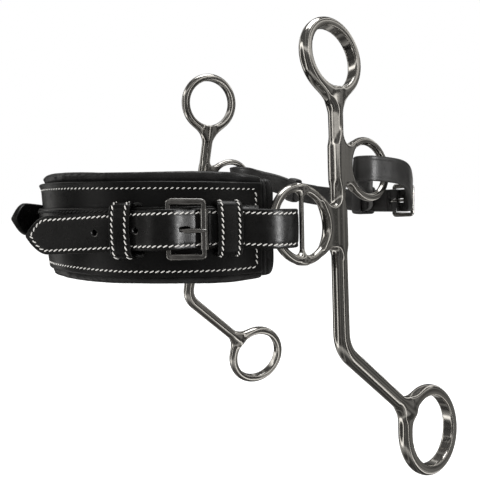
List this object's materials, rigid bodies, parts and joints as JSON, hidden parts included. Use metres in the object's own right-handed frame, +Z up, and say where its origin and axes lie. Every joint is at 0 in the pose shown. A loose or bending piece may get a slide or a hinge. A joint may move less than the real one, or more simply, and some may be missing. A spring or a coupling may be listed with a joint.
{
  "type": "bitless hackamore",
  "caption": "Bitless bridle nosepiece: padded leather noseband buckled round two ring-ended cast steel cheeks, with a buckled leather curb strap behind.",
  "frame": {"origin": "midway between the centres of the two noseband rings of the cheeks, which is the axis the cheeks swing about, with the noseband level", "axes": "+X towards the horse's left, +Y rearward from the nose to the chin, +Z up the face towards the crown rings"},
  "size_m": [0.1888, 0.2166, 0.2424],
  "materials": {
    "steel_cheeks": "polished cast stainless steel",
    "steel_buckles": "polished wire",
    "black_leather": "fine grain, soft sheen",
    "soft_leather": "soft lining leather",
    "foam": "closed-cell foam, hidden in the lining"
  },
  "bodies": {
    "noseband": {"noseband_lining": "soft_leather", "noseband_foam": "foam", "noseband_panel": "black_leather", "nose_strap": "black_leather", "left_end_binding": "soft_leather", "left_billet": "black_leather", "left_rear_keeper": "black_leather", "left_front_keeper": "black_leather", "left_buckle_chape": "black_leather", "right_end_binding": "soft_leather", "right_billet": "black_leather", "right_rear_keeper": "black_leather", "right_front_keeper": "black_leather", "right_buckle_chape": "black_leather"},
    "left_cheek": {"left_cheek": "steel_cheeks"},
    "right_cheek": {"right_cheek": "steel_cheeks"},
    "curb_strap": {"curb_strap": "black_leather", "curb_billet": "black_leather", "curb_chape": "black_leather", "curb_keeper_left": "black_leather", "curb_keeper_right": "black_leather"},
    "curb_buckle_frame": {"curb_buckle_frame": "steel_buckles"},
    "curb_buckle_tongue": {"curb_buckle_tongue": "steel_buckles"},
    "left_buckle_frame": {"left_buckle_frame": "steel_buckles"},
    "left_buckle_roller": {"left_buckle_roller": "steel_buckles"},
    "left_buckle_tongue": {"left_buckle_tongue": "steel_buckles"},
    "right_buckle_frame": {"right_buckle_frame": "steel_buckles"},
    "right_buckle_roller": {"right_buckle_roller": "steel_buckles"},
    "right_buckle_tongue": {"right_buckle_tongue": "steel_buckles"}
  },
  "joints": [
    {"name": "left_cheek_swing", "type": "hinge", "parent": "noseband", "child": "left_cheek", "pos_m": [0.0806, 0, 0], "axis": [1, 0, 0], "range_deg": [-15, 20]},
    {"name": "right_cheek_swing", "type": "hinge", "parent": "noseband", "child": "right_cheek", "pos_m": [-0.0806, 0, 0], "axis": [1, 0, 0], "range_deg": [-15, 20]},
    {"name": "curb_strap_swing", "type": "hinge", "parent": "left_cheek", "child": "curb_strap", "pos_m": [0.07202, 0.05006, 0.0272], "axis": [1, 0, 0], "range_deg": [-25, 30]},
    {"name": "left_buckle_lift", "type": "hinge", "parent": "noseband", "child": "left_buckle_frame", "pos_m": [0.06773, -0.06175, -0.0007], "axis": [0, 0, -1], "range_deg": [0, 5]},
    {"name": "left_tongue_lift", "type": "hinge", "parent": "left_buckle_frame", "child": "left_buckle_tongue", "pos_m": [0.06773, -0.06175, -0.0007], "axis": [0, 0, -1], "range_deg": [0, 10]},
    {"name": "left_roller_spin", "type": "hinge", "parent": "left_buckle_frame", "child": "left_buckle_roller", "pos_m": [0.07684, -0.04923, -0.0007], "axis": [0, 0, 1], "continuous": true},
    {"name": "right_buckle_lift", "type": "hinge", "parent": "noseband", "child": "right_buckle_frame", "pos_m": [-0.06773, -0.06175, -0.0007], "axis": [0, 0, 1], "range_deg": [0, 5]},
    {"name": "right_tongue_lift", "type": "hinge", "parent": "right_buckle_frame", "child": "right_buckle_tongue", "pos_m": [-0.06773, -0.06175, -0.0007], "axis": [0, 0, 1], "range_deg": [0, 10]},
    {"name": "right_roller_spin", "type": "hinge", "parent": "right_buckle_frame", "child": "right_buckle_roller", "pos_m": [-0.07684, -0.04923, -0.0007], "axis": [0, 0, 1], "continuous": true},
    {"name": "curb_buckle_lift", "type": "hinge", "parent": "curb_strap", "child": "curb_buckle_frame", "pos_m": [0.0602, 0.0838, 0.0106], "axis": [0, 0, 1], "range_deg": [-2, 6]},
    {"name": "curb_tongue_lift", "type": "hinge", "parent": "curb_buckle_frame", "child": "curb_buckle_tongue", "pos_m": [0.0602, 0.0838, 0.0106], "axis": [0, 0, 1], "range_deg": [0, 20]}
  ],
  "couplings": [
    {"joint": "right_cheek_swing", "follows": "left_cheek_swing", "ratio": 1}
  ]
}
